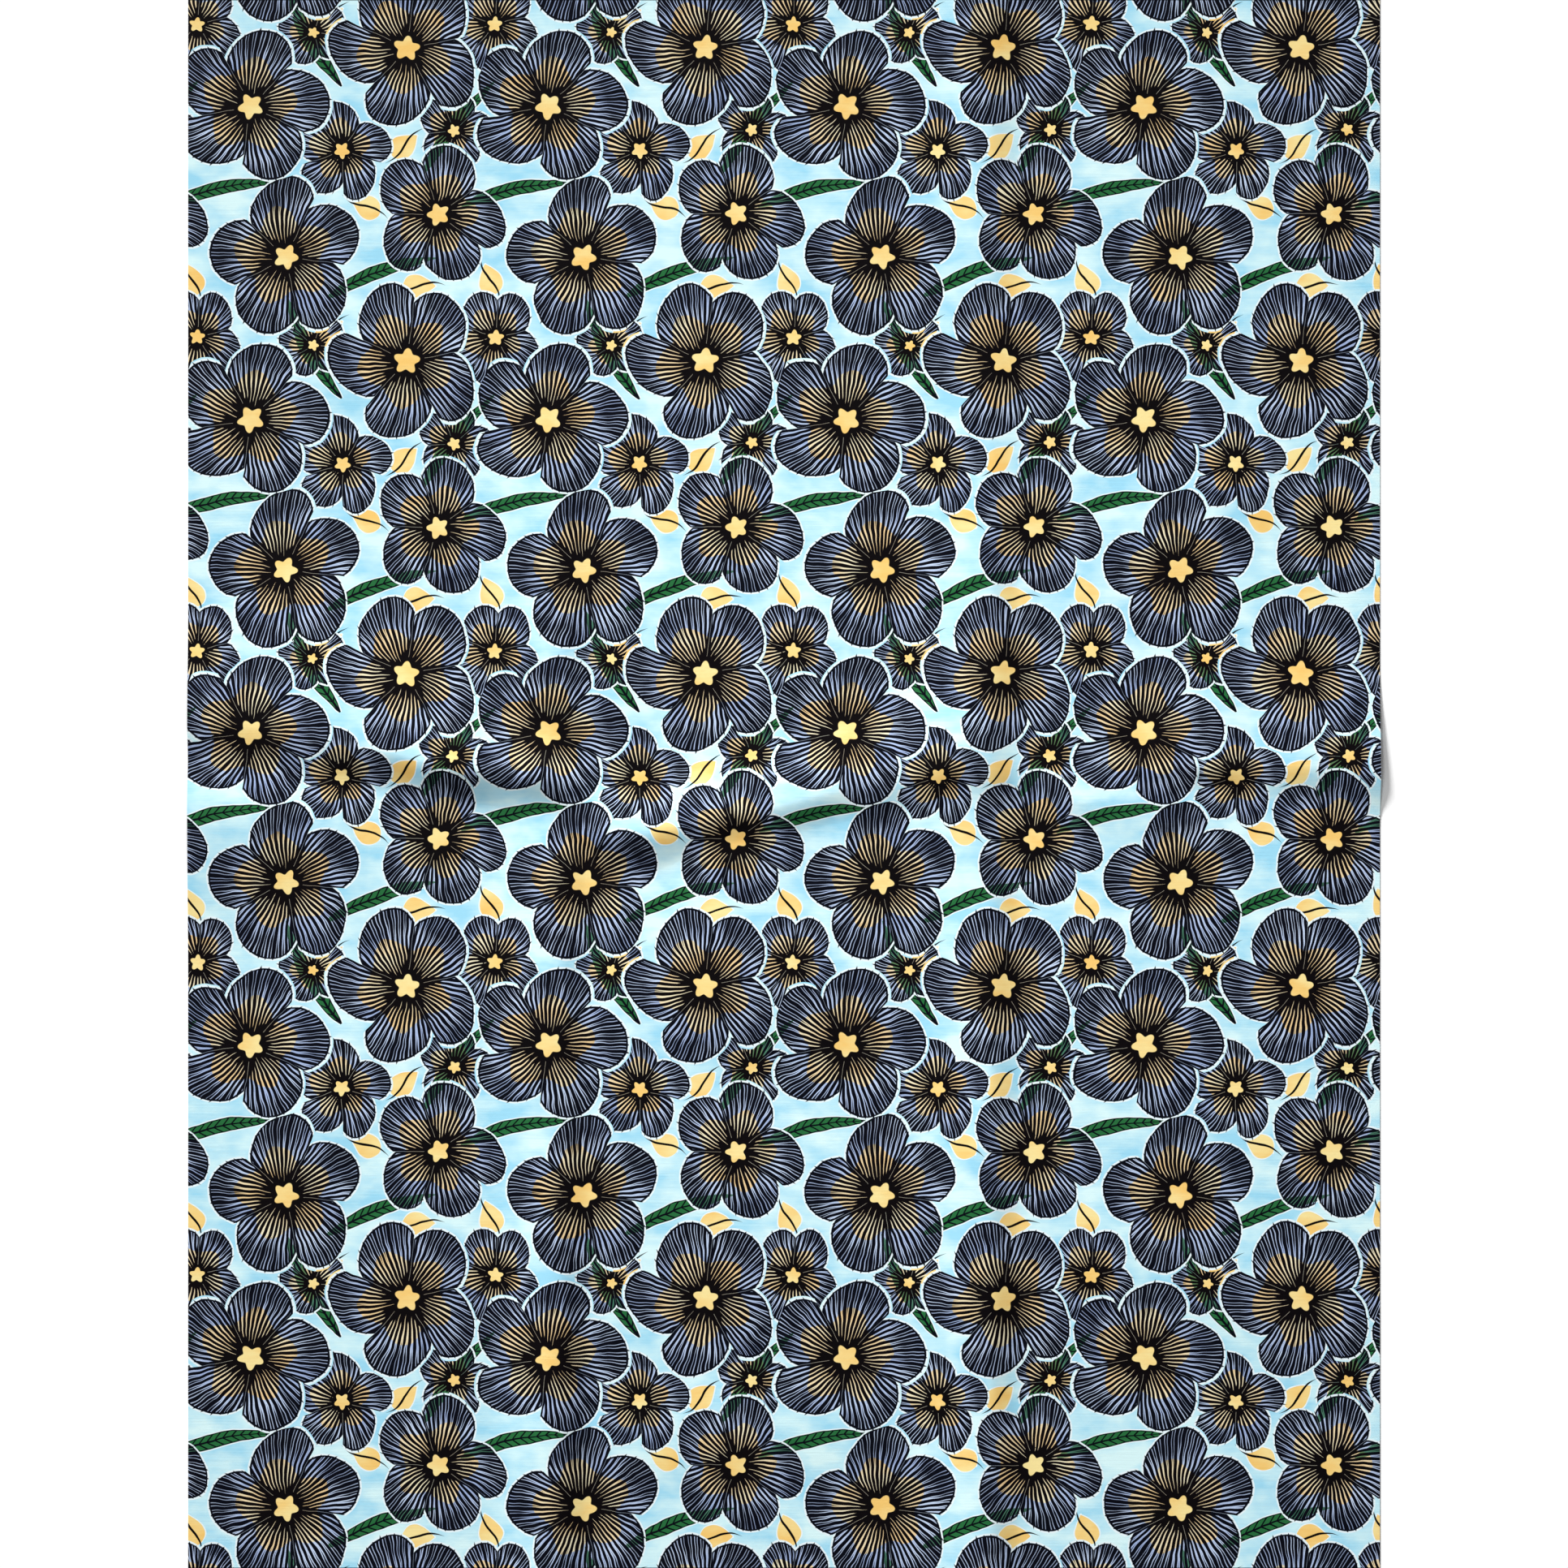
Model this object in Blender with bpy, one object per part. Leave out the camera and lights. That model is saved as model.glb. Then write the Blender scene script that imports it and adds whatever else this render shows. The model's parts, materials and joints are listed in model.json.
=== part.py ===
"""One yard of wax print cloth, lying flat on a surface as it was unfolded.

It is a single woven piece with a selvedge along each side, so it is one solid. The fold at half its
width has sprung up into a wandering ridge, and two pressed folds cross it as low ridges.

Metres, +Z up. X runs along the length that was cut from the bolt, and Y across the cloth from
selvedge to selvedge. The origin is on the surface under the cloth, at the cloth's middle.
"""

from collections import namedtuple
from math import hypot, radians

import bmesh
import bpy
import numpy as np

COLLECTION_NAME = "wax_print_fabric"
CLOTH_NAME = "cloth_panel"

# Driving dimensions.
CUT_LENGTH = 0.9144  # one yard, from cut end to cut end
WOVEN_WIDTH = 1.2192  # 48 inches, from selvedge to selvedge
RIDGE_TAKE_UP = 0.0037  # width that the ridge takes up, so the laid cloth is this much narrower
CLOTH_WALL = 0.0012  # a firm wall that stands in for cloth of 0.3 mm

LAID_WIDTH = WOVEN_WIDTH - RIDGE_TAKE_UP

# The ridge left by the fold at half the width, from the left cut end to the right one.
# along: place in X. across: place of the crest in Y. height: of the crest. above, below: the reach of
# the flank on the +Y side, and of the steeper one on the -Y side.
RidgeStation = namedtuple("RidgeStation", "along across height above below")
RIDGE = (
    RidgeStation(along=-0.457, across=0.047, height=0.0040, above=0.070, below=0.032),
    RidgeStation(along=-0.415, across=0.047, height=0.0030, above=0.110, below=0.034),
    RidgeStation(along=-0.386, across=0.044, height=0.0050, above=0.150, below=0.038),
    RidgeStation(along=-0.356, across=0.039, height=0.0062, above=0.150, below=0.042),
    RidgeStation(along=-0.326, across=0.030, height=0.0078, above=0.130, below=0.036),
    RidgeStation(along=-0.296, across=0.024, height=0.0080, above=0.105, below=0.030),
    RidgeStation(along=-0.267, across=0.017, height=0.0090, above=0.085, below=0.030),
    RidgeStation(along=-0.237, across=0.014, height=0.0092, above=0.060, below=0.029),
    RidgeStation(along=-0.207, across=0.006, height=0.0064, above=0.037, below=0.027),
    RidgeStation(along=-0.178, across=0.005, height=0.0048, above=0.032, below=0.026),
    RidgeStation(along=-0.164, across=-0.002, height=0.0032, above=0.034, below=0.026),
    RidgeStation(along=-0.150, across=-0.032, height=0.0034, above=0.040, below=0.034),
    RidgeStation(along=-0.128, across=-0.038, height=0.0064, above=0.042, below=0.034),
    RidgeStation(along=-0.098, across=-0.036, height=0.0062, above=0.038, below=0.032),
    RidgeStation(along=-0.078, across=-0.031, height=0.0056, above=0.038, below=0.028),
    RidgeStation(along=-0.060, across=-0.027, height=0.0040, above=0.050, below=0.023),
    RidgeStation(along=-0.030, across=-0.022, height=0.0036, above=0.052, below=0.021),
    RidgeStation(along=-0.010, across=-0.018, height=0.0038, above=0.054, below=0.023),
    RidgeStation(along=0.012, across=-0.012, height=0.0046, above=0.046, below=0.026),
    RidgeStation(along=0.045, across=-0.003, height=0.0044, above=0.054, below=0.026),
    RidgeStation(along=0.078, across=0.000, height=0.0042, above=0.060, below=0.030),
    RidgeStation(along=0.100, across=0.008, height=0.0036, above=0.074, below=0.028),
    RidgeStation(along=0.135, across=0.018, height=0.0034, above=0.068, below=0.026),
    RidgeStation(along=0.158, across=0.010, height=0.0026, above=0.050, below=0.030),
    RidgeStation(along=0.180, across=0.010, height=0.0010, above=0.050, below=0.030),
    RidgeStation(along=0.205, across=0.013, height=0.0008, above=0.050, below=0.030),
    RidgeStation(along=0.268, across=0.014, height=0.0010, above=0.070, below=0.026),
    RidgeStation(along=0.296, across=0.014, height=0.0026, above=0.090, below=0.024),
    RidgeStation(along=0.322, across=0.014, height=0.0028, above=0.100, below=0.018),
    RidgeStation(along=0.342, across=0.014, height=0.0030, above=0.100, below=0.019),
    RidgeStation(along=0.360, across=0.013, height=0.0018, above=0.090, below=0.026),
    RidgeStation(along=0.387, across=0.016, height=0.0042, above=0.080, below=0.029),
    RidgeStation(along=0.420, across=0.012, height=0.0044, above=0.078, below=0.030),
    RidgeStation(along=0.457, across=0.010, height=0.0050, above=0.070, below=0.036),
)
# The low rises beside the ridge, where the cloth turns up again.
LEFT_RISE = (
    RidgeStation(along=-0.457, across=-0.020, height=0.0044, above=0.044, below=0.110),
    RidgeStation(along=-0.425, across=-0.020, height=0.0034, above=0.040, below=0.110),
    RidgeStation(along=-0.386, across=-0.020, height=0.0026, above=0.030, below=0.100),
    RidgeStation(along=-0.350, across=-0.022, height=0.0026, above=0.028, below=0.100),
    RidgeStation(along=-0.310, across=-0.026, height=0.0014, above=0.030, below=0.100),
    RidgeStation(along=-0.270, across=-0.028, height=0.0, above=0.030, below=0.100),
)
MIDDLE_RISE = (
    RidgeStation(along=-0.100, across=-0.034, height=0.0, above=0.045, below=0.100),
    RidgeStation(along=-0.076, across=-0.031, height=0.0012, above=0.042, below=0.100),
    RidgeStation(along=-0.060, across=-0.027, height=0.0032, above=0.050, below=0.110),
    RidgeStation(along=-0.030, across=-0.022, height=0.0038, above=0.052, below=0.120),
    RidgeStation(along=-0.010, across=-0.018, height=0.0032, above=0.054, below=0.120),
    RidgeStation(along=0.012, across=-0.012, height=0.0020, above=0.048, below=0.120),
    RidgeStation(along=0.045, across=-0.003, height=0.0012, above=0.054, below=0.120),
    RidgeStation(along=0.078, across=0.002, height=0.0014, above=0.060, below=0.120),
    RidgeStation(along=0.105, across=0.010, height=0.0020, above=0.076, below=0.110),
    RidgeStation(along=0.132, across=0.018, height=0.0024, above=0.062, below=0.100),
    RidgeStation(along=0.148, across=0.016, height=0.0018, above=0.056, below=0.100),
    RidgeStation(along=0.172, across=0.015, height=0.0, above=0.050, below=0.100),
)
RIGHT_RISE = (
    RidgeStation(along=0.185, across=-0.012, height=0.0, above=0.030, below=0.030),
    RidgeStation(along=0.212, across=-0.012, height=0.0018, above=0.030, below=0.022),
    RidgeStation(along=0.240, across=-0.014, height=0.0028, above=0.034, below=0.024),
    RidgeStation(along=0.266, across=-0.016, height=0.0024, above=0.032, below=0.060),
    RidgeStation(along=0.300, across=-0.016, height=0.0010, above=0.024, below=0.080),
    RidgeStation(along=0.335, across=-0.016, height=0.0, above=0.024, below=0.080),
)
RIDGE_AND_RISES = (RIDGE, LEFT_RISE, MIDDLE_RISE, RIGHT_RISE)
ROUNDED_OVER = 0.012  # each way in X, where one stretch of the ridge passes into the next

# The two pressed folds, each straight in Y, with the height of its crest at named places.
# left, right: the reach of the flank on the -X side, and of the one on the +X side.
PressedFold = namedtuple("PressedFold", "along left right stations")
FoldStation = namedtuple("FoldStation", "across height")
LEFT_FOLD = PressedFold(
    along=-0.173,
    left=0.050,
    right=0.022,
    stations=(
        FoldStation(across=0.434, height=0.0),
        FoldStation(across=0.309, height=0.0012),
        FoldStation(across=0.230, height=0.0022),
        FoldStation(across=0.170, height=0.0014),
        FoldStation(across=0.110, height=0.0022),
        FoldStation(across=0.070, height=0.0022),
        FoldStation(across=0.035, height=0.0004),
        FoldStation(across=-0.030, height=0.0004),
        FoldStation(across=-0.070, height=0.0030),
        FoldStation(across=-0.184, height=0.0031),
        FoldStation(across=-0.260, height=0.0010),
        FoldStation(across=-0.335, height=0.0028),
        FoldStation(across=-0.435, height=0.0044),
        FoldStation(across=-0.480, height=0.0042),
        FoldStation(across=-0.540, height=0.0032),
        FoldStation(across=-0.602, height=0.0034),
    ),
)
RIGHT_FOLD = PressedFold(
    along=0.157,
    left=0.060,
    right=0.024,
    stations=(
        FoldStation(across=0.602, height=0.0031),
        FoldStation(across=0.555, height=0.0022),
        FoldStation(across=0.505, height=0.0031),
        FoldStation(across=0.396, height=0.0020),
        FoldStation(across=0.250, height=0.0014),
        FoldStation(across=0.178, height=0.0030),
        FoldStation(across=0.128, height=0.0038),
        FoldStation(across=-0.046, height=0.0028),
        FoldStation(across=-0.134, height=0.0039),
        FoldStation(across=-0.184, height=0.0029),
        FoldStation(across=-0.270, height=0.0046),
        FoldStation(across=-0.335, height=0.0036),
        FoldStation(across=-0.400, height=0.0046),
        FoldStation(across=-0.470, height=0.0034),
        FoldStation(across=-0.540, height=0.0042),
        FoldStation(across=-0.602, height=0.0046),
    ),
)
PRESSED_FOLDS = (LEFT_FOLD, RIGHT_FOLD)
FADED_OVER = 0.020  # each way in Y, where a pressed fold's height passes into the next
BLUNTED = 0.15  # how far each crest is rounded, in reaches

# How closely the cloth is divided.
COLUMN_STEP = 0.016
ROW_STEP = 0.042
FLANK_ROWS = 4  # on each flank of the ridge
FLANK_COLUMNS = 3  # on each flank of a pressed fold
CLEAR_OF_FOLD = 0.006  # even columns keep this far from a pressed fold
ROUNDING_SAMPLES = 9

SHARP_ANGLE = radians(40.0)  # edges of the wall stay sharp, and folds are smooth

PRINT_GROUND = (0.43, 0.79, 0.89, 1.0)
CLOTH_ROUGHNESS = 0.72


def clear_scene():
    """Removes whatever the new scene holds."""
    for obj in list(bpy.data.objects):
        bpy.data.objects.remove(obj, do_unlink=True)


def passed_over(at, places, values, window):
    """The values at the places, read at a point of the line between them and rounded over a window."""
    order = np.argsort(places)
    nearby = at + np.linspace(-window, window, ROUNDING_SAMPLES)
    read = np.interp(nearby, np.array(places)[order], np.array(values)[order])
    return float(np.mean(read))


def section(offset, before, after):
    """Height of a ridge's section, 1 at its rounded crest and 0 past its reach to each side.

    before, after: the reach where the offset is under 0, and where it is over 0.
    """
    reach = after if offset > 0.0 else before
    s = min(hypot(offset / reach, BLUNTED) - BLUNTED, 1.0)
    return (1.0 - s) ** 2 * (1.0 + s)


def ridge_at(x, stations):
    """A ridge's crest in Y, its height and its reach above and below, at a place along the cloth."""
    table = np.array(stations)
    along, columns = table[:, 0], table.T[1:]
    return [passed_over(x, along, column, ROUNDED_OVER) for column in columns]


def sprung_height(x, y):
    """Height of the ridge and its low rises over a point."""
    total = 0.0
    for stations in RIDGE_AND_RISES:
        crest, height, above, below = ridge_at(x, stations)
        total += height * section(y - crest, below, above)
    return total


def pressed_height(x, y):
    """Height of the pressed folds over a point."""
    total = 0.0
    for fold in PRESSED_FOLDS:
        across, heights = np.array(fold.stations).T
        share = section(x - fold.along, fold.left, fold.right)
        total += share * passed_over(y, across, heights, FADED_OVER)
    return total


def cloth_height(x, y):
    """Height of the cloth's underside over the surface that it lies on."""
    return sprung_height(x, y) + pressed_height(x, y)


def column_places():
    """Places in X of the lines that divide the cloth, closer together over the pressed folds."""
    half = CUT_LENGTH / 2
    even = np.linspace(-half, half, round(CUT_LENGTH / COLUMN_STEP) + 1)
    places = list(even)
    for fold in PRESSED_FOLDS:
        first, last = fold.along - fold.left, fold.along + fold.right
        places = [x for x in places if x < first - CLEAR_OF_FOLD or x > last + CLEAR_OF_FOLD]
        places.extend(np.linspace(first, fold.along, FLANK_COLUMNS, endpoint=False))
        places.extend(np.linspace(last, fold.along, FLANK_COLUMNS, endpoint=False))
        places.append(fold.along)
    return sorted(places)


def row_places(x):
    """Places in Y of the cloth's rows at one column: even, but for those that follow the ridge."""
    crest, _, above, below = ridge_at(x, RIDGE)
    half = LAID_WIDTH / 2
    outer_rows = round(half / ROW_STEP)
    lower = np.linspace(-half, crest - below, outer_rows, endpoint=False)
    lower_flank = np.linspace(crest - below, crest, FLANK_ROWS, endpoint=False)
    upper_flank = np.linspace(crest + above, crest, FLANK_ROWS, endpoint=False)[::-1]
    upper = np.linspace(half, crest + above, outer_rows, endpoint=False)[::-1]
    return np.concatenate([lower, lower_flank, [crest], upper_flank, upper])


def make_material():
    """The cloth's plain colour, which is that of the print's ground."""
    material = bpy.data.materials.new("wax_print_cotton")
    material.use_nodes = True
    shader = material.node_tree.nodes["Principled BSDF"]
    shader.inputs["Base Color"].default_value = PRINT_GROUND
    shader.inputs["Roughness"].default_value = CLOTH_ROUGHNESS
    shader.inputs["Metallic"].default_value = 0.0
    return material


def make_cloth(collection):
    """The cloth: a grid laid over the folds, with its wall grown upwards from the underside."""
    columns = column_places()
    rows = [row_places(x) for x in columns]
    last_column, last_row = len(columns) - 1, len(rows[0]) - 1

    bm = bmesh.new()
    bmesh.ops.create_grid(bm, x_segments=last_column, y_segments=last_row, size=0.5)
    for vert in bm.verts:
        column = round((vert.co.x + 0.5) * last_column)
        row = round((vert.co.y + 0.5) * last_row)
        x, y = columns[column], rows[column][row]
        vert.co = (x, y, cloth_height(x, y))
    underside = list(bm.faces)
    wall = bmesh.ops.extrude_face_region(bm, geom=underside, use_keep_orig=True)
    upper = [part for part in wall["geom"] if isinstance(part, bmesh.types.BMVert)]
    bmesh.ops.translate(bm, verts=upper, vec=(0.0, 0.0, CLOTH_WALL))
    bmesh.ops.recalc_face_normals(bm, faces=bm.faces)
    mesh = bpy.data.meshes.new(CLOTH_NAME)
    bm.to_mesh(mesh)
    bm.free()
    mesh.shade_smooth()
    mesh.set_sharp_from_angle(angle=SHARP_ANGLE)
    mesh.materials.append(make_material())

    cloth = bpy.data.objects.new(CLOTH_NAME, mesh)
    collection.objects.link(cloth)
    return cloth


def main():
    """Builds the cloth in a collection of its own."""
    clear_scene()
    collection = bpy.data.collections.new(COLLECTION_NAME)
    bpy.context.scene.collection.children.link(collection)
    make_cloth(collection)


main()
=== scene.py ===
"""The looks of one yard of wax print cloth, lying flat on a pale floor as it was unfolded.

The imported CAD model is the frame. Its one cloth solid is replaced by a thin woven sheet on the same
form, with its finer creases, its weave and its print.

Metres, +Z up. X runs along the length that was cut from the bolt, and Y across the cloth from
selvedge to selvedge. The origin is on the floor under the cloth's middle. The print's own layout is
in millimetres, because a textile print is drawn in them.
"""

from __future__ import annotations

import json
import logging
from dataclasses import astuple, dataclass
from enum import Enum
from math import asin, cos, pi, radians, sin, tau
from typing import Callable, Sequence, Union

import bmesh
import bpy
import numpy as np
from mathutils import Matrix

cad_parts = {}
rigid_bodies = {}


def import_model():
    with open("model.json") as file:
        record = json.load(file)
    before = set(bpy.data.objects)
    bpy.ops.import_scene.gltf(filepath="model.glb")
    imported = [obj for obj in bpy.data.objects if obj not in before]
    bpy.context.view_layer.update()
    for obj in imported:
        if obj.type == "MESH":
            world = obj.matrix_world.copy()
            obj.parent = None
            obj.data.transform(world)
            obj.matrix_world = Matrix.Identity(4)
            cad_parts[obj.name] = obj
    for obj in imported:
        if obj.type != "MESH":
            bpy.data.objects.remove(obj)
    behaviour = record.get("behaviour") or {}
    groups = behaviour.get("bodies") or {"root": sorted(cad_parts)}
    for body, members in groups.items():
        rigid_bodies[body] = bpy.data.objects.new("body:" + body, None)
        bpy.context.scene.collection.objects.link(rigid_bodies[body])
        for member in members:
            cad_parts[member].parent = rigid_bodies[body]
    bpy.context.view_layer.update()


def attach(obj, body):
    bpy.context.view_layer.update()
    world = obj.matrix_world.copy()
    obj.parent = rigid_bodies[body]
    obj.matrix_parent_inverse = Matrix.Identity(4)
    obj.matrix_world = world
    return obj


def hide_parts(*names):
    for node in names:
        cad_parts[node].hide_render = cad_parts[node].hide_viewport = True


LOG = logging.getLogger("wax_print_fabric")

CLOTH_NODE = "cloth_panel"
MILLIMETRES = 1000.0  # in a metre
WINDOW_READINGS = 9  # that are averaged where a line is rounded over a window

FLAT_MAP = "flat"  # the cloth's own coordinates, in metres, before it was laid
BAKE_MAP = "OFBake"  # the cloth spread over one square picture
DRAWN_EDGE = 0.35  # how soft the edges of the print are, in millimetres

Array = np.ndarray
Pair = tuple[float, float]
Triple = tuple[float, float, float]
Rgba = tuple[float, float, float, float]

WHITE: Rgba = (1.0, 1.0, 1.0, 1.0)


@dataclass(frozen=True)
class Cut:
    """The whole cut of cloth, in metres."""

    length: float = 0.9144
    woven_width: float = 1.2192
    take_up: float = 0.0037

    @property
    def laid_width(self) -> float:
        """The cloth's width as it lies, over its ridge."""
        return self.woven_width - self.take_up


CUT = Cut()


def table(row: type, *values: tuple[float, ...]) -> tuple:
    """Makes a table whose columns are the fields of its rows' class, in their order."""
    return tuple(row(*each) for each in values)


def placed(name: str, data: bpy.types.ID) -> bpy.types.Object:
    """Puts a new object in the scene.

    Args:
        name: The object's name.
        data: Its mesh, lamp or camera.

    Returns:
        The object.
    """
    thing = bpy.data.objects.new(name, data)
    bpy.context.scene.collection.objects.link(thing)
    return thing


def set_inputs(node: bpy.types.Node, values: dict[str, object]) -> None:
    """Sets a node's own values, by the names of its inputs."""
    for name, value in values.items():
        node.inputs[name].default_value = value


def plain_material(name: str) -> tuple[bpy.types.Material, bpy.types.Node]:
    """Makes a material with nodes.

    Args:
        name: The material's name.

    Returns:
        The material, and its main shader.
    """
    material = bpy.data.materials.new(name)
    material.use_nodes = True
    return material, material.node_tree.nodes["Principled BSDF"]


# Numbers over the cloth, as shader nodes.


# The Mix node's kinds of value, each with its first value's input and its output.
MIX_SOCKETS = {"FLOAT": (2, 0), "VECTOR": (4, 1), "RGBA": (6, 2)}


class NodeBuilder:
    """Adds shader nodes to one material's tree and joins them, so that a pattern reads as sums."""

    def __init__(self, tree: bpy.types.NodeTree) -> None:
        """Keeps the tree that the nodes go into."""
        self.tree = tree

    def add(self, kind: str, *values: Value, **settings: object) -> bpy.types.Node:
        """Adds a node.

        Args:
            kind: The node's type name.
            values: What its inputs get, in order.
            settings: Properties of the node, by name.

        Returns:
            The new node.
        """
        node = self.tree.nodes.new(kind)
        for name, value in settings.items():
            setattr(node, name, value)
        for socket, value in zip(node.inputs, values):
            self.feed(socket, value)
        return node

    def feed(self, socket: bpy.types.NodeSocket, value: Value) -> None:
        """Links a field or a place to a socket, or sets the socket's own value.

        Args:
            socket: The input to feed.
            value: A field, a place, a dye, a number or a tuple of numbers.
        """
        if isinstance(value, (Field, Place)):
            self.tree.links.new(value.socket, socket)
        else:
            socket.default_value = value.value if isinstance(value, Dye) else value

    def number(self, operation: str, *values: Number, clamp: bool = False) -> Field:
        """Works out a number by a Math node's operation, kept from 0 to 1 if it is clamped."""
        node = self.add("ShaderNodeMath", *values, operation=operation, use_clamp=clamp)
        return Field(self, node.outputs[0])

    def place(self, operation: str, *values: Union[Place, Triple]) -> Place:
        """Works out a place by a Vector Math node's operation."""
        node = self.add("ShaderNodeVectorMath", *values, operation=operation)
        return Place(self, node.outputs[0])

    def joined(self, x: Number, y: Number, z: Number = 0.0) -> Place:
        """Makes a place of three numbers."""
        node = self.add("ShaderNodeCombineXYZ", x, y, z)
        return Place(self, node.outputs[0])

    def mixed(self, kind: str, share: Field, first: Value, second: Value) -> bpy.types.NodeSocket:
        """Passes from one value to another.

        Args:
            kind: The values' kind, by the Mix node's own name for it.
            share: 0 for the first value and 1 for the second.
            first: The value where the share is 0.
            second: The value where the share is 1.

        Returns:
            The output that gives the value between them.
        """
        node = self.add("ShaderNodeMix", share, data_type=kind)
        first_input, output = MIX_SOCKETS[kind]
        self.feed(node.inputs[first_input], first)
        self.feed(node.inputs[first_input + 1], second)
        return node.outputs[output]

    def chosen(self, share: Field, first: Number, second: Number) -> Field:
        """The first number where the share is 0, and the second where it is 1."""
        return Field(self, self.mixed("FLOAT", share, first, second))

    def chosen_place(self, share: Field, first: Place, second: Union[Place, Triple]) -> Place:
        """The first place where the share is 0, and the second where it is 1."""
        return Place(self, self.mixed("VECTOR", share, first, second))

    def coloured(self, share: Field, below: Colour, above: Colour) -> Place:
        """One colour laid over another, by the share of the upper one that shows."""
        return Place(self, self.mixed("RGBA", share, below, above))

    def curve(self, value: Field, stops: Sequence[Pair]) -> Field:
        """Reads a number from a line through named stops.

        Args:
            value: Where to read it, from 0 to 1.
            stops: Pairs of place and height, in order.

        Returns:
            The height there.
        """
        node = self.add("ShaderNodeValToRGB", value)
        ramp = node.color_ramp
        for place, _ in stops[1:-1]:
            ramp.elements.new(place)
        for element, (place, height) in zip(ramp.elements, stops):
            element.position = place
            element.color = (height, height, height, 1.0)
        return Field(self, node.outputs[0])

    def noise(self, at: Place, size: float, detail: float = 0.0) -> Place:
        """Three smooth random numbers, each from about -1 to 1.

        Args:
            at: Where to read them.
            size: The size of the noise's largest patches, in the units of the place.
            detail: How many finer layers it has.

        Returns:
            The three numbers.
        """
        node = self.add("ShaderNodeTexNoise", at, noise_dimensions="2D")
        set_inputs(node, {"Scale": 1.0 / size, "Detail": detail})
        return Place(self, node.outputs["Color"]).minus((0.5, 0.5, 0.5)).times(2.0)

    def chance(self, at: Place) -> ThreeFields:
        """Three random numbers from 0 to 1, which jump from one place to the next."""
        node = self.add("ShaderNodeTexWhiteNoise", at, noise_dimensions="3D")
        return Place(self, node.outputs["Color"]).parts()


def worked(operation: str, answer: str = "number") -> Callable[..., Union[Field, Place]]:
    """Makes a method of a field or a place out of a node's operation.

    Args:
        operation: The operation's name.
        answer: What it gives: a number, or a place.

    Returns:
        The method. It works on its own object first, and then on what it is given.
    """

    def method(self: Union[Field, Place], *others: Value) -> Union[Field, Place]:
        """The operation's answer over the cloth."""
        return getattr(self.nodes, answer)(operation, self, *others)

    return method


@dataclass(frozen=True)
class Field:
    """A number that varies over the cloth: the output of a shader node."""

    nodes: NodeBuilder
    socket: bpy.types.NodeSocket

    __add__ = worked("ADD")
    __sub__ = worked("SUBTRACT")
    __mul__ = worked("MULTIPLY")
    __truediv__ = worked("DIVIDE")
    __abs__ = worked("ABSOLUTE")
    __lt__ = worked("LESS_THAN")  # 1 where it is less, and 0 elsewhere
    scaled = worked("MULTIPLY_ADD")  # times a factor, plus an offset
    least = worked("MINIMUM")  # the smaller, or the part that two masks share
    most = worked("MAXIMUM")  # the larger, or all that two masks cover
    power = worked("POWER")
    sine = worked("SINE")
    cosine = worked("COSINE")

    def __rsub__(self, other: float) -> Field:
        """The difference from a plain number."""
        return self.nodes.number("SUBTRACT", other, self)

    def from_stripe(self) -> Field:
        """How far the number is from a half, between whole numbers: 0 there and 1 at the wholes."""
        folded = self.nodes.number("PINGPONG", self, 0.5)
        return folded.scaled(-2.0, 1.0)

    def within(self, edge: float = DRAWN_EDGE) -> Field:
        """A mask, 1 where the number is under 0, whose edge is drawn over this width."""
        return self.nodes.number("MULTIPLY_ADD", self, -1.0 / edge, 0.5, clamp=True)


@dataclass(frozen=True)
class Place:
    """Three numbers that vary over the cloth: a place, or a colour."""

    nodes: NodeBuilder
    socket: bpy.types.NodeSocket

    plus = worked("ADD", "place")
    minus = worked("SUBTRACT", "place")  # as seen from another place
    stretched = worked("MULTIPLY", "place")  # each number times its own factor

    def times(self, factor: Number) -> Place:
        """Multiplies the place by a number.

        Args:
            factor: The number.

        Returns:
            The new place.
        """
        node = self.nodes.add("ShaderNodeVectorMath", self, operation="SCALE")
        self.nodes.feed(node.inputs["Scale"], factor)
        return Place(self.nodes, node.outputs[0])

    def turned(self, angle: Field) -> Place:
        """Turns the place about the origin, in its own plane.

        Args:
            angle: How far, in radians.

        Returns:
            The new place.
        """
        node = self.nodes.add("ShaderNodeVectorRotate", self, rotation_type="Z_AXIS")
        self.nodes.feed(node.inputs["Angle"], angle)
        return Place(self.nodes, node.outputs[0])

    def repeated(self, width: float, height: float) -> Place:
        """Brings the place into the repeat that is centred on the origin.

        Args:
            width: The repeat's width.
            height: The repeat's height.

        Returns:
            The place within the repeat.
        """
        high = (width / 2, height / 2, 1.0)
        low = (-width / 2, -height / 2, -1.0)
        return self.nodes.place("WRAP", self, high, low)

    def length(self) -> Field:
        """The distance from the origin."""
        node = self.nodes.add("ShaderNodeVectorMath", self, operation="LENGTH")
        return Field(self.nodes, node.outputs["Value"])

    def parts(self) -> ThreeFields:
        """The three numbers on their own."""
        node = self.nodes.add("ShaderNodeSeparateXYZ", self)
        return tuple(Field(self.nodes, socket) for socket in node.outputs)


def linear(red: int, green: int, blue: int) -> Rgba:
    """Turns a screen colour into the linear one that shaders take, by the sRGB standard's curve.

    Args:
        red: From 0 to 255.
        green: From 0 to 255.
        blue: From 0 to 255.

    Returns:
        The linear colour, opaque.
    """
    values = np.array((red, green, blue)) / 255.0
    dark = values / 12.92
    light = ((values + 0.055) / 1.055) ** 2.4
    return (*np.where(values <= 0.04045, dark, light).tolist(), 1.0)


# The print.


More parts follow.
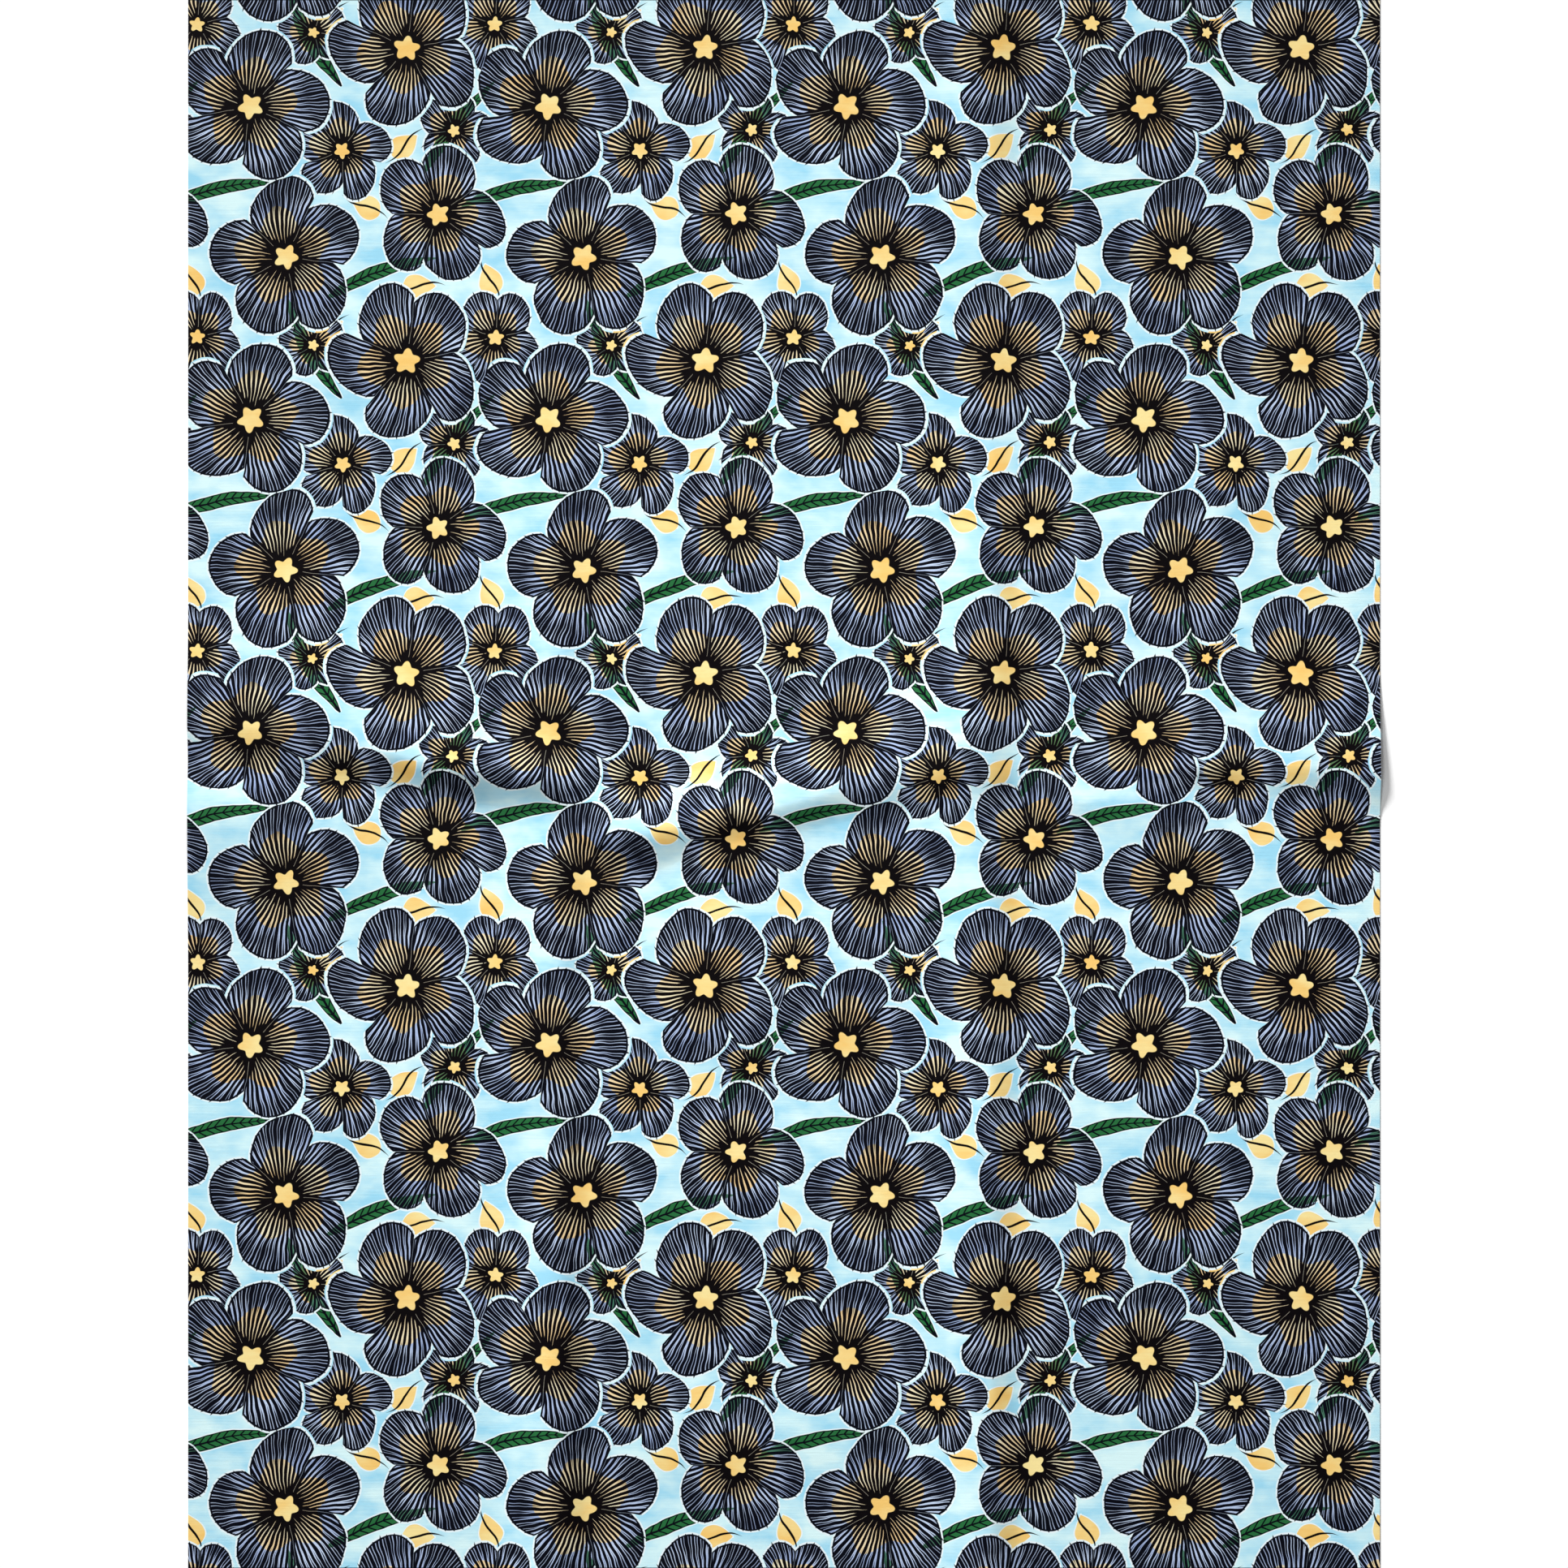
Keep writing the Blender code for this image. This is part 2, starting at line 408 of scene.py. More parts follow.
class Dye(Enum):
    """The print's colours, linear."""

    GROUND = linear(152, 210, 233)
    PALE_GROUND = linear(209, 238, 240)
    RESIST = linear(224, 237, 241)
    SLATE = linear(158, 176, 215)
    PALE_SLATE = linear(198, 214, 240)
    GOLD = linear(236, 203, 151)
    PALE_GOLD = linear(240, 230, 197)
    YELLOW = linear(236, 193, 110)
    PALE_YELLOW = linear(238, 218, 151)
    INK = linear(5, 7, 17)
    INK_ON_GOLD = linear(8, 5, 7)
    GREEN = linear(38, 102, 57)
    GREEN_ON_SLATE = linear(49, 112, 71)
    SELVEDGE = linear(224, 228, 226)


Number = Union[Field, float]
Colour = Union[Place, Dye]
Value = Union[Field, Place, Dye, float, tuple]
ThreeFields = tuple[Field, Field, Field]


def layered(below: Colour, *layers: tuple[Field, Colour]) -> Colour:
    """Lays colours over one another.

    Args:
        below: The lowest colour.
        layers: Each upper one's mask and colour, from the bottom up.

    Returns:
        The colour that shows.
    """
    for mask, colour in layers:
        below = mask.nodes.coloured(mask, below, colour)
    return below


@dataclass(frozen=True)
class Motif:
    """One motif of the print's repeat: its middle and radius in millimetres, its turn in degrees."""

    x: float
    y: float
    turn: float
    radius: float = 0.0


@dataclass(frozen=True)
class Nearest:
    """A point of the cloth as seen from the nearest motif of one kind."""

    offset: Place  # the point, from the motif's middle
    turn: Field  # the motif's turn, in radians
    radius: Field  # the motif's radius
    number: Field  # the motif's number in its own list


@dataclass(frozen=True)
class PetalPoint:
    """A point of the cloth as seen from the petal of a blossom."""

    out: Field  # how far it is out along the petal, in radii of the blossom
    across: Field  # how far it is to the side of the petal's middle line, in radii
    edge: Field  # how far it is outside the petal, in millimetres
    petal: Field  # the petal's number round the blossom
    wave: Field  # 1 at the middle of each petal and -1 between petals
    offset: Place  # the point from the blossom's middle, in millimetres
    radius: Field  # the blossom's radius, in millimetres
    number: Field  # the blossom's number in the repeat


@dataclass(frozen=True)
class Blade:
    """The outline of a leaf or a bud, pointed at both ends, in millimetres."""

    length: float  # from tip to tip
    width: float  # where it is widest
    lean: float  # under 1, it is widest nearer to its start
    fullness: float  # under 1, it fills out towards its tips
    reach: float  # where its tips are cut, in lengths from its middle

    def share(self, along: Field) -> Field:
        """How far along the blade a point is, from 0 to 1."""
        return along.nodes.number("MULTIPLY_ADD", along, 1.0 / self.length, 0.5, clamp=True)

    def half_width(self, share: Field) -> Field:
        """Half the blade's width there."""
        arch = (share.power(self.lean) * pi).sine().most(0.0)
        return arch.power(self.fullness) * (self.width / 2)

    def past_tips(self, along: Field) -> Field:
        """How far a point is past the cut tips."""
        return abs(along) - self.length * self.reach


@dataclass(frozen=True)
class FlowerPrint:
    """A scattered flower print: blossoms over leaves and buds on a pale ground.

    It is drawn in millimetres, and within a petal in radii of its blossom. One repeat goes four times
    into a yard and five times into the width. A pair is how much a number grows, along a petal or a
    leaf, by a wave or by chance, and what it starts from.
    """

    repeat_length: float = 228.6
    repeat_width: float = 240.7
    blossoms: tuple[Motif, ...] = table(
        Motif,  # x, y, turn, radius
        (48, 40, 10, 60),
        (168, 85, 47, 60),
        (75, 165, 29, 60),
        (192, 198, 0, 52),
    )
    small_blossoms: tuple[Motif, ...] = table(
        Motif,
        (118, 6, 20, 38),
        (7, 103, 50, 37),
        (204, 22, 5, 30),
        (96, 97, 33, 26),
    )
    leaves: tuple[Motif, ...] = table(
        Motif,
        (94, 94, 118),
        (147, 152, 20),
        (206, 26, 52),
        (24, 216, 12),
    )
    buds: tuple[Motif, ...] = table(
        Motif,
        (3, 148, 110),
        (166, 10, 40),
        (136, 204, 150),
        (177, 143, 0),
        (109, 107, 40),
    )

    petals: int = 5
    lobe: float = 0.415  # radius of a petal's round end
    lobe_at: float = 0.59  # place of that end's middle
    petal_spread: float = 0.05  # how much the petals' lengths differ
    petal_lean: float = 0.42
    eye: Pair = (-0.030, 0.135)
    eye_ring: float = 0.060
    gold_zone: Pair = (0.09, 0.54)
    gold_wobble: float = 0.03
    misprint: Triple = (1.6, -1.0, 0.0)  # of the yellow, against the outlines
    zone_edge: float = 0.01
    largest_blossom: float = 60.0
    resist_width: float = 1.4  # the white line that the resist leaves round each blossom
    leaf_through: float = 0.9  # how much of a leaf shows through a petal

    veins: float = 8.0  # on each side of a petal, in the largest blossom
    vein_thinning: float = 0.8  # how much fewer they are in a small one
    vein_shift: Pair = (0.12, 0.5)  # in pitches, so that one vein runs up the petal's middle
    vein_edge: float = 0.18  # how soft a vein's edges are, in pitches
    vein_fan: Pair = (0.72, 0.12)
    vein_widths: tuple[Pair, ...] = (  # out along the petal, in pitches
        *((0.0, 1.0), (0.20, 0.92), (0.34, 0.79)),
        *((0.50, 0.67), (0.70, 0.57), (1.0, 0.52)),
    )
    vein_chance: Pair = (0.14, -0.07)
    vein_wobble: float = 0.06
    filled_to: Pair = (0.20, 0.17)  # how far out the ink fills the petal
    filled_fade: float = 6.0
    hair_width: float = 0.24  # of the strokes past the petal's edge
    hair_taper: Pair = (0.35, 0.09)
    hair_reach: Pair = (8.0, -4.4)
    longest_hair: float = 2.4
    fine_vein: Pair = (4.5, -2.2)  # between each two others
    fine_chance: float = 0.7
    fine_width: float = 0.34
    outline: float = 1.4
    outline_wobble: float = 0.3
    least_outline: float = 0.75  # in outlines of the largest blossom
    outline_in_eye: Pair = (-3.6, 1.7)

    leaf: Blade = Blade(length=92.0, width=11.0, lean=0.85, fullness=0.8, reach=0.49)
    leaf_bend: Pair = (-5.0, 3.0)
    leaf_line: float = 0.8
    midrib: Pair = (-0.9, 1.1)
    barb_pitch: float = 6.5
    barb_slant: float = -1.2
    barb_width: float = 0.26  # in pitches
    barb_edge: float = 0.15
    bud: Blade = Blade(length=25.0, width=18.0, lean=0.7, fullness=0.9, reach=0.495)
    stem_reach: float = 20.0
    stem_half: float = 0.95
    stem_bend: float = 2.6
    stem_wave: float = 7.0
    leaf_resist: float = 0.9
    bud_resist: float = 1.0

    warp: Pair = (26.0, 1.6)  # size and depth of the unsteadiness of the whole drawing
    wobble_size: float = 10.0  # of the unsteadiness of its lines
    wash_size: float = 22.0  # of the patches where a dye took more or less
    wash_drag: Triple = (0.55, 1.0, 1.0)
    wash_depth: Pair = (1.3, 0.5)
    thread_size: float = 1.5
    thread_drag: Triple = (0.05, 1.0, 1.0)
    thread_depth: float = 0.12
    selvedge: float = 6.5
    selvedge_line: float = 0.9

    def nearest(self, at: Place, motifs: Sequence[Motif]) -> Nearest:
        """Finds the nearest motif of one kind over the whole cloth.

        Args:
            at: A point of the cloth.
            motifs: The motifs of that kind in one repeat.

        Returns:
            The point as seen from that motif.
        """
        nodes = at.nodes
        found: tuple[Place, Place, Field] | None = None
        for number, motif in enumerate(motifs):
            offset = at.minus((motif.x, motif.y, 0.0)).repeated(self.repeat_length, self.repeat_width)
            distance = offset.length() - motif.radius
            facts = (radians(motif.turn), motif.radius, float(number))
            if found is None:
                found = (offset, nodes.joined(*facts), distance)
                continue
            closer = distance < found[2]
            found = (
                nodes.chosen_place(closer, found[0], offset),
                nodes.chosen_place(closer, found[1], facts),
                distance.least(found[2]),
            )
        turn, radius, number = found[1].parts()
        return Nearest(found[0], turn, radius, number)

    def petal_point(self, near: Nearest) -> PetalPoint:
        """Works out where a point lies in the petal of its nearest blossom.

        Args:
            near: The point as seen from the blossom.

        Returns:
            The point as seen from the petal.
        """
        nodes = near.offset.nodes
        scaled = near.offset.times(nodes.number("DIVIDE", 1.0, near.radius))
        distance = scaled.length()
        x, y, _ = scaled.parts()
        bearing = nodes.number("ARCTAN2", y, x) - near.turn
        petals_round = bearing * (self.petals / tau)
        nearest_petal = nodes.number("ROUND", petals_round)
        from_middle = (petals_round - nearest_petal) * (tau / self.petals)
        petal = nodes.number("FLOORED_MODULO", nearest_petal, float(self.petals))
        lean, stretch, _ = nodes.chance(nodes.joined(petal, near.number, near.radius))

        out = distance * from_middle.cosine()
        leaned = (lean - 0.5) * (out * out)
        across = distance * from_middle.sine() - leaned * self.petal_lean

        half_angle = asin(self.lobe / self.lobe_at)
        side = abs(across)
        end_at = stretch.scaled(self.petal_spread, self.lobe_at - self.petal_spread / 2)
        round_end = nodes.joined(out - end_at, across).length() - self.lobe
        straight = side * cos(half_angle) - out * sin(half_angle)
        straight = straight.most(out - self.lobe_at * cos(half_angle) ** 2)
        shape = round_end.least(straight)
        to_neighbour = (pi / self.petals - abs(from_middle)).sine() * distance
        shape = shape.most(to_neighbour * -1.0)
        return PetalPoint(
            out=out,
            across=across,
            edge=shape * near.radius,
            petal=petal,
            wave=(petals_round * tau).cosine(),
            offset=near.offset,
            radius=near.radius,
            number=near.number,
        )

    def front_petal(self, front: PetalPoint, back: PetalPoint) -> PetalPoint:
        """Takes the front blossom's petal where there is one, and the back one's elsewhere.

        Args:
            front: The point as seen from the front blossom's petal.
            back: The point as seen from the back blossom's petal.

        Returns:
            The point as seen from the petal that shows.
        """
        nodes = front.edge.nodes
        hidden = nodes.number("GREATER_THAN", front.edge, self.longest_hair)
        names = ("out", "across", "edge", "petal", "wave", "radius", "number")
        seen = {
            name: nodes.chosen(hidden, getattr(front, name), getattr(back, name)) for name in names
        }
        return PetalPoint(offset=nodes.chosen_place(hidden, front.offset, back.offset), **seen)

    def petal_ink(self, point: PetalPoint, wobble: ThreeFields) -> Field:
        """Draws the veins and outlines of the petals.

        Args:
            point: The point as seen from the petal that shows.
            wobble: Three slow random numbers, as the unsteadiness of the hand.

        Returns:
            The mask of the ink.
        """
        nodes = point.edge.nodes
        out = point.out.most(0.0)
        inside = point.edge.within()
        size = (point.radius / self.largest_blossom).power(self.vein_thinning)
        stripe = (point.across / out.scaled(*self.vein_fan)) * size
        stripe = stripe.scaled(self.veins, wobble[0].scaled(*self.vein_shift))
        chances = nodes.chance(nodes.joined(nodes.number("FLOOR", stripe), point.petal, point.number))
        fine = stripe + 0.5
        gap = nodes.chance(nodes.joined(nodes.number("FLOOR", fine), point.petal, point.radius))

        filled = (gap[1].scaled(*self.filled_to) - out) * self.filled_fade
        width = nodes.curve(out, self.vein_widths) + chances[0].scaled(*self.vein_chance)
        width = width + wobble[1] * self.vein_wobble + filled.most(0.0)
        from_vein = stripe.from_stripe()
        vein = (from_vein - width).within(self.vein_edge).least(inside)
        thinned = point.edge.most(0.0) * chances[1].scaled(*self.hair_taper)
        beyond = out.scaled(*self.hair_reach).least(self.longest_hair)
        hair = (from_vein + thinned - self.hair_width).within(self.vein_edge)
        hair = hair.least((point.edge - beyond).within())

        fine_width = (out.scaled(*self.fine_vein) - gap[0] * self.fine_chance).most(0.0).least(1.0)
        fine_vein = (fine.from_stripe() - fine_width * self.fine_width).within(self.vein_edge)
        fine_vein = fine_vein.least(inside)

        half_line = wobble[2].scaled(self.outline_wobble, self.outline / 2)
        half_line = half_line * size.most(self.least_outline)
        half_line = half_line + out.scaled(*self.outline_in_eye).most(0.0)
        outline = (abs(point.edge + half_line) - half_line).within()
        return vein.most(hair).most(fine_vein).most(outline)

    def blossoms_over(
        self,
        below: Colour,
        leaf: Field,
        point: PetalPoint,
        wobble: ThreeFields,
        washes: ThreeFields,
    ) -> Colour:
        """Prints the blossoms over what is below them.

        Args:
            below: The colour so far.
            leaf: The mask of the leaves, which show through the petals.
            point: The point as seen from the petal that shows.
            wobble: Three slow random numbers, as the unsteadiness of the hand.
            washes: How pale each dye took.

        Returns:
            The colour with the blossoms.
        """
        nodes = point.edge.nodes
        moved = point.offset.plus(self.misprint).length() / point.radius
        wave, rim = self.gold_zone
        zone = point.wave.scaled(wave, wobble[1].scaled(self.gold_wobble, rim))
        gold = (moved - zone).within(self.zone_edge)
        past_eye = point.offset.length() / point.radius - point.wave.scaled(*self.eye)
        ring = (past_eye - self.eye_ring).within(self.zone_edge)
        ink = self.petal_ink(point, wobble).most(ring)

        slate = nodes.coloured(washes[1], Dye.SLATE, Dye.PALE_SLATE)
        golden = nodes.coloured(washes[2], Dye.GOLD, Dye.PALE_GOLD)
        yellow = nodes.coloured(washes[1], Dye.YELLOW, Dye.PALE_YELLOW)
        leaf = leaf * self.leaf_through
        return layered(
            below,
            ((point.edge - self.resist_width).within(), Dye.RESIST),
            (point.edge.within(), layered(slate, (gold, golden), (leaf, Dye.GREEN_ON_SLATE))),
            (ink, nodes.coloured(gold, Dye.INK, Dye.INK_ON_GOLD)),
            (past_eye.within(self.zone_edge), yellow),
        )

    def leaves_over(self, below: Colour, at: Place) -> tuple[Colour, Field]:
        """Prints the leaves over what is below them.

        Args:
            below: The colour so far.
            at: A point of the cloth.

        Returns:
            The colour with the leaves, and the leaves' mask.
        """
        near = self.nearest(at, self.leaves)
        along, across, _ = near.offset.turned(near.turn * -1.0).parts()
        share = self.leaf.share(along)
        side = abs(across + (share * pi).sine().scaled(*self.leaf_bend))
        edge = side - self.leaf.half_width(share)
        ends = self.leaf.past_tips(along)
        leaf = edge.most(ends).within()
        resist = (edge - self.leaf_resist).most(ends).within()
        midrib = (side - share.scaled(*self.midrib)).within()
        slanted = side.scaled(self.barb_slant, along) / self.barb_pitch
        barbs = (slanted.from_stripe() - self.barb_width).within(self.barb_edge)
        rim = (edge * -1.0 - self.leaf_line).within()
        lines = midrib.most(barbs).most(rim).least(leaf)
        return layered(below, (resist, Dye.RESIST), (leaf, Dye.GREEN), (lines, Dye.INK)), leaf

    def buds_over(self, below: Colour, at: Place, wash: Field) -> Colour:
        """Prints the buds and their stems over what is below them.

        Args:
            below: The colour so far.
            at: A point of the cloth.
            wash: How pale the dye took.

        Returns:
            The colour with the buds.
        """
        near = self.nearest(at, self.buds)
        along, across, _ = near.offset.turned(near.turn * -1.0).parts()
        half = self.bud.half_width(self.bud.share(along))
        edge = (abs(across) - half).most(self.bud.past_tips(along))
        wander = (along / self.stem_wave).sine() * self.stem_bend
        thinned = (along * along).scaled(-self.stem_half / self.stem_reach**2, self.stem_half)
        stem = (abs(across - wander) - thinned).most(abs(along) - self.stem_reach)
        return layered(
            below,
            ((edge - self.bud_resist).within(), Dye.RESIST),
            (edge.within(), at.nodes.coloured(wash, Dye.YELLOW, Dye.PALE_YELLOW)),
            (stem.within(), Dye.INK_ON_GOLD),
        )

    def washes(self, at: Place) -> ThreeFields:
        """Works out where each dye took unevenly, in brushed patches and along thick threads.

        Args:
            at: A point of the cloth.

        Returns:
            How pale each of three dyes is, from 0 to 1.
        """
        nodes = at.nodes
        dragged, brushed = at.stretched(self.thread_drag), at.stretched(self.wash_drag)
        threads, _, _ = nodes.noise(dragged, self.thread_size, detail=1.0).parts()
        uneven = threads * self.thread_depth
        return tuple(
            nodes.number("ADD", uneven, patches.scaled(*self.wash_depth), clamp=True)
            for patches in nodes.noise(brushed, self.wash_size, detail=3.0).parts()
        )

    def colour(self, at: Place) -> Colour:
        """Works out the print's colour.

        Args:
            at: A point of the cloth, in metres.

        Returns:
            The colour there.
        """
        nodes = at.nodes
        drawn = at.times(MILLIMETRES)
        size, depth = self.warp
        warped = drawn.plus(nodes.noise(drawn, size, detail=2.0).times(depth))
        wobble = nodes.noise(drawn, self.wobble_size).parts()
        front = self.petal_point(self.nearest(warped, self.blossoms))
        back = self.petal_point(self.nearest(warped, self.small_blossoms))
        petal = self.front_petal(front, back)
        washes = self.washes(drawn)
        ground = nodes.coloured(washes[0], Dye.GROUND, Dye.PALE_GROUND)
        colour, leaf = self.leaves_over(self.buds_over(ground, warped, washes[2]), warped)
        colour = self.blossoms_over(colour, leaf, petal, wobble, washes)
        return self.selvedges_over(colour, drawn)

    def selvedges_over(self, below: Colour, drawn: Place) -> Colour:
        """Leaves both selvedges unprinted, past a thin line.

        Args:
            below: The colour so far.
            drawn: A point of the cloth, in millimetres.

        Returns:
            The colour with the selvedges.
        """
        _, y, _ = drawn.parts()
        printed = CUT.woven_width * MILLIMETRES / 2 - self.selvedge
        past = printed - abs(y)
        plain = (past + self.selvedge_line).within()
        return layered(below, (past.within(), Dye.INK), (plain, Dye.SELVEDGE))


# The cloth.


class Side(Enum):
    """The two sides of the cloth, each with its share of the bake map from the bottom up."""

    UNDER = (0.0, 0.2)
    UPPER = (0.2, 1.0)


@dataclass(frozen=True)
class CottonFinish:
    """Plain woven cotton with a smooth, faintly waxy finish, printed right through."""

    name: str = "wax_print_cotton_woven"
    print_design: FlowerPrint = FlowerPrint()
    thread_pitch: float = 0.00036
    weave_height: float = 0.00006
    slub_height: float = 0.00005
    bump_strength: float = 0.5
    roughness: float = 0.7
    specular: float = 0.04
    sheen: float = 0.01
    sheen_roughness: float = 0.45
    slub_drag: Triple = (0.04, 1.0, 1.0)
    slub_size: float = 1.2  # in millimetres

    def relief(self, nodes: NodeBuilder, at: Place) -> Field:
        """Works out the height of the threads.

        Args:
            nodes: What adds the nodes.
            at: A point of the cloth, in metres.

        Returns:
            The height, in metres.
        """
        x, y, _ = at.parts()
        warp = (x * (pi / self.thread_pitch)).sine()
        weft = (y * (pi / self.thread_pitch)).sine()
        weave = (warp * weft) * self.weave_height
        dragged = at.times(MILLIMETRES).stretched(self.slub_drag)
        slubs, _, _ = nodes.noise(dragged, self.slub_size, detail=1.0).parts()
        return slubs.scaled(self.slub_height, weave)

    def make(self) -> bpy.types.Material:
        """Makes the cotton's material.

        Returns:
            The material, for a piece with the flat map.
        """
        material, shader = plain_material(self.name)
        nodes = NodeBuilder(material.node_tree)
        flat = nodes.add("ShaderNodeUVMap", uv_map=FLAT_MAP)
        at = Place(nodes, flat.outputs["UV"])
        nodes.feed(shader.inputs["Base Color"], self.print_design.colour(at))
        looks = {"Roughness": self.roughness, "Specular IOR Level": self.specular}
        looks |= {"Sheen Weight": self.sheen, "Sheen Roughness": self.sheen_roughness}
        set_inputs(shader, looks)
        bump = nodes.add("ShaderNodeBump")
        set_inputs(bump, {"Strength": self.bump_strength, "Distance": 1.0})
        nodes.feed(bump.inputs["Height"], self.relief(nodes, at))
        material.node_tree.links.new(bump.outputs["Normal"], shader.inputs["Normal"])
        return material


@dataclass(frozen=True)
class RidgeStation:
    """The ridge at one place along the cloth."""

    along: float  # the place in X
    across: float  # the place of the crest in Y
    height: float  # the height of the crest
    above: float  # the reach of the flank on the +Y side
    below: float  # the reach of the steeper flank on the -Y side


@dataclass(frozen=True)
class FoldStation:
    """A pressed fold at one place across the cloth."""

    across: float
    height: float


def passed_over(
    at: Array, places: Sequence[float], values: Sequence[float], window: float
) -> Array:
    """Reads the line through the values at named places, rounded over a window each way."""
    steps = np.linspace(-window, window, WINDOW_READINGS)
    return np.mean([np.interp(at + step, places, values) for step in steps], axis=0)


def section(
    offset: Array,
    before: Union[float, Array],
    after: Union[float, Array],
    blunt: float,
) -> Array:
    """The section of a ridge: 1 at its rounded crest and 0 past its reach to each side.

    Args:
        offset: The distance from the crest.
        before: The reach where the offset is under 0.
        after: The reach where the offset is over 0.
        blunt: How far the crest is rounded, in reaches.

    Returns:
        The height there.
    """
    share = offset / np.where(offset > 0.0, after, before)
    rounded = np.hypot(share, blunt) - blunt
    s = np.minimum(rounded, 1.0)
    return (1.0 - s) ** 2 * (1.0 + s)


@dataclass(frozen=True)
class SprungRidge:
    """A ridge that wanders along the cloth, such as the fold at half the width, which has sprung up."""

    stations: tuple[RidgeStation, ...]
    rounded_over: float = 0.012
    blunt: float = 0.15

    def read(self, x: Array) -> list[Array]:
        """The crest's place and height and the reach of both flanks, at places along the cloth."""
        places, *sizes = zip(*map(astuple, self.stations))
        return [passed_over(x, places, values, self.rounded_over) for values in sizes]

    def rise(self, x: Array, y: Array) -> Array:
        """The ridge's height over points of the floor."""
        across, height, above, below = self.read(x)
        return height * section(y - across, below, above, self.blunt)


@dataclass(frozen=True)
class PressedFold:
    """A fold that was pressed into the cloth, straight in Y, and no longer lies flat."""

    along: float
    left: float
    right: float
    stations: tuple[FoldStation, ...]
    faded_over: float = 0.020
    blunt: float = 0.15

    def rise(self, x: Array, y: Array) -> Array:
        """Works out the fold's height over points of the floor.

        Args:
            x: Their places along the cloth.
            y: Their places across it.

        Returns:
            The height there.
        """
        places, heights = zip(*map(astuple, reversed(self.stations)))
        share = section(x - self.along, self.left, self.right, self.blunt)
        return share * passed_over(y, places, heights, self.faded_over)


RIDGE = table(
    RidgeStation,
    # along, across, height, above, below
    (-0.457, 0.047, 0.0040, 0.070, 0.032),
    (-0.415, 0.047, 0.0030, 0.110, 0.034),
    (-0.386, 0.044, 0.0050, 0.150, 0.038),
    (-0.356, 0.039, 0.0062, 0.150, 0.042),
    (-0.326, 0.030, 0.0078, 0.130, 0.036),
    (-0.296, 0.024, 0.0080, 0.105, 0.030),
    (-0.267, 0.017, 0.0090, 0.085, 0.030),
    (-0.237, 0.014, 0.0092, 0.060, 0.029),
    (-0.207, 0.006, 0.0064, 0.037, 0.027),
    (-0.178, 0.005, 0.0048, 0.032, 0.026),
    (-0.164, -0.002, 0.0032, 0.034, 0.026),
    (-0.150, -0.032, 0.0034, 0.040, 0.034),
    (-0.128, -0.038, 0.0064, 0.042, 0.034),
    (-0.098, -0.036, 0.0062, 0.038, 0.032),
    (-0.078, -0.031, 0.0056, 0.038, 0.028),
    (-0.060, -0.027, 0.0040, 0.050, 0.023),
    (-0.030, -0.022, 0.0036, 0.052, 0.021),
    (-0.010, -0.018, 0.0038, 0.054, 0.023),
    (0.012, -0.012, 0.0046, 0.046, 0.026),
    (0.045, -0.003, 0.0044, 0.054, 0.026),
    (0.078, 0.000, 0.0042, 0.060, 0.030),
    (0.100, 0.008, 0.0036, 0.074, 0.028),
    (0.135, 0.018, 0.0034, 0.068, 0.026),
    (0.158, 0.010, 0.0026, 0.050, 0.030),
    (0.180, 0.010, 0.0010, 0.050, 0.030),
    (0.205, 0.013, 0.0008, 0.050, 0.030),
    (0.268, 0.014, 0.0010, 0.070, 0.026),
    (0.296, 0.014, 0.0026, 0.090, 0.024),
    (0.322, 0.014, 0.0028, 0.100, 0.018),
    (0.342, 0.014, 0.0030, 0.100, 0.019),
    (0.360, 0.013, 0.0018, 0.090, 0.026),
    (0.387, 0.016, 0.0042, 0.080, 0.029),
    (0.420, 0.012, 0.0044, 0.078, 0.030),
    (0.457, 0.010, 0.0050, 0.070, 0.036),
)
# The low rises beside the ridge, where the cloth turns up again.
LEFT_RISE = table(
    RidgeStation,
    (-0.457, -0.020, 0.0044, 0.044, 0.110),
    (-0.425, -0.020, 0.0034, 0.040, 0.110),
    (-0.386, -0.020, 0.0026, 0.030, 0.100),
    (-0.350, -0.022, 0.0026, 0.028, 0.100),
    (-0.310, -0.026, 0.0014, 0.030, 0.100),
    (-0.270, -0.028, 0.0, 0.030, 0.100),
)
MIDDLE_RISE = table(
    RidgeStation,
    (-0.100, -0.034, 0.0, 0.045, 0.100),
    (-0.076, -0.031, 0.0012, 0.042, 0.100),
    (-0.060, -0.027, 0.0032, 0.050, 0.110),
    (-0.030, -0.022, 0.0038, 0.052, 0.120),
    (-0.010, -0.018, 0.0032, 0.054, 0.120),
    (0.012, -0.012, 0.0020, 0.048, 0.120),
    (0.045, -0.003, 0.0012, 0.054, 0.120),
    (0.078, 0.002, 0.0014, 0.060, 0.120),
    (0.105, 0.010, 0.0020, 0.076, 0.110),
    (0.132, 0.018, 0.0024, 0.062, 0.100),
    (0.148, 0.016, 0.0018, 0.056, 0.100),
    (0.172, 0.015, 0.0, 0.050, 0.100),
)
RIGHT_RISE = table(
    RidgeStation,
    (0.185, -0.012, 0.0, 0.030, 0.030),
    (0.212, -0.012, 0.0018, 0.030, 0.022),
    (0.240, -0.014, 0.0028, 0.034, 0.024),
    (0.266, -0.016, 0.0024, 0.032, 0.060),
    (0.300, -0.016, 0.0010, 0.024, 0.080),
    (0.335, -0.016, 0.0, 0.024, 0.080),
)
